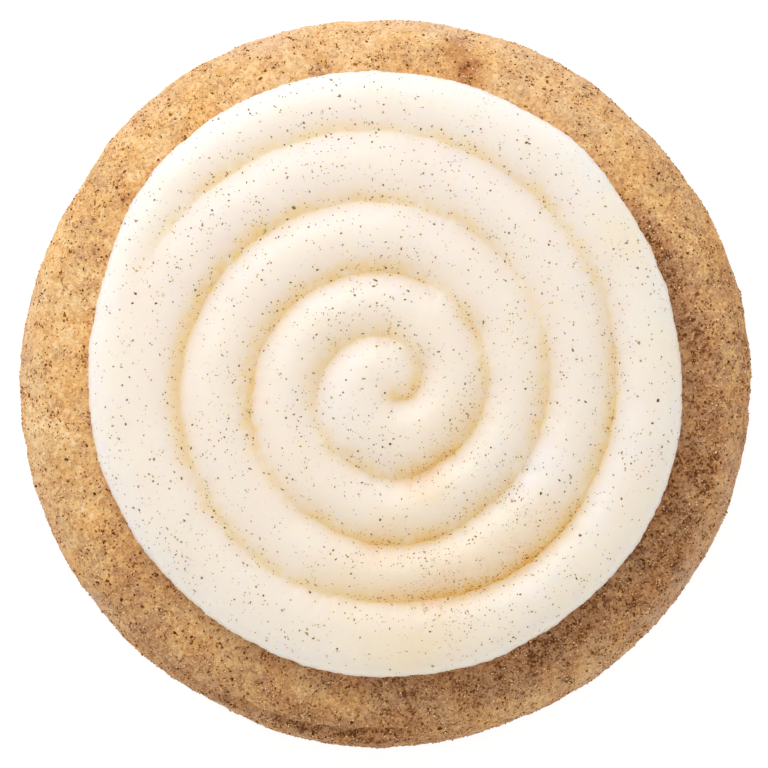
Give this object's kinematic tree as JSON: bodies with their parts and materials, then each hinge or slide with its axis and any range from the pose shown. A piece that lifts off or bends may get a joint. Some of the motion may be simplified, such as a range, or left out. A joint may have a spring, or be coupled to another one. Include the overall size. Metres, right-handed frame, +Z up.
{
  "type": "frosted snickerdoodle cookie",
  "caption": "Thick round soft-baked cookie dusted with cinnamon sugar, topped with a flat piped swirl of cream frosting.",
  "frame": {"origin": "middle of the flat underside", "axes": "+Z up through the cookie and its frosting; +X to the right and +Y to the top of the picture"},
  "size_m": [0.1004, 0.0998, 0.022],
  "materials": {
    "cookie": "soft baked crumb, matte and grainy, rolled in cinnamon sugar",
    "frosting": "piped cream frosting, smooth and softly satin, sprinkled with ground cinnamon"
  },
  "bodies": {
    "root": {"cookie": "cookie", "frosting": "frosting"}
  },
  "joints": []
}
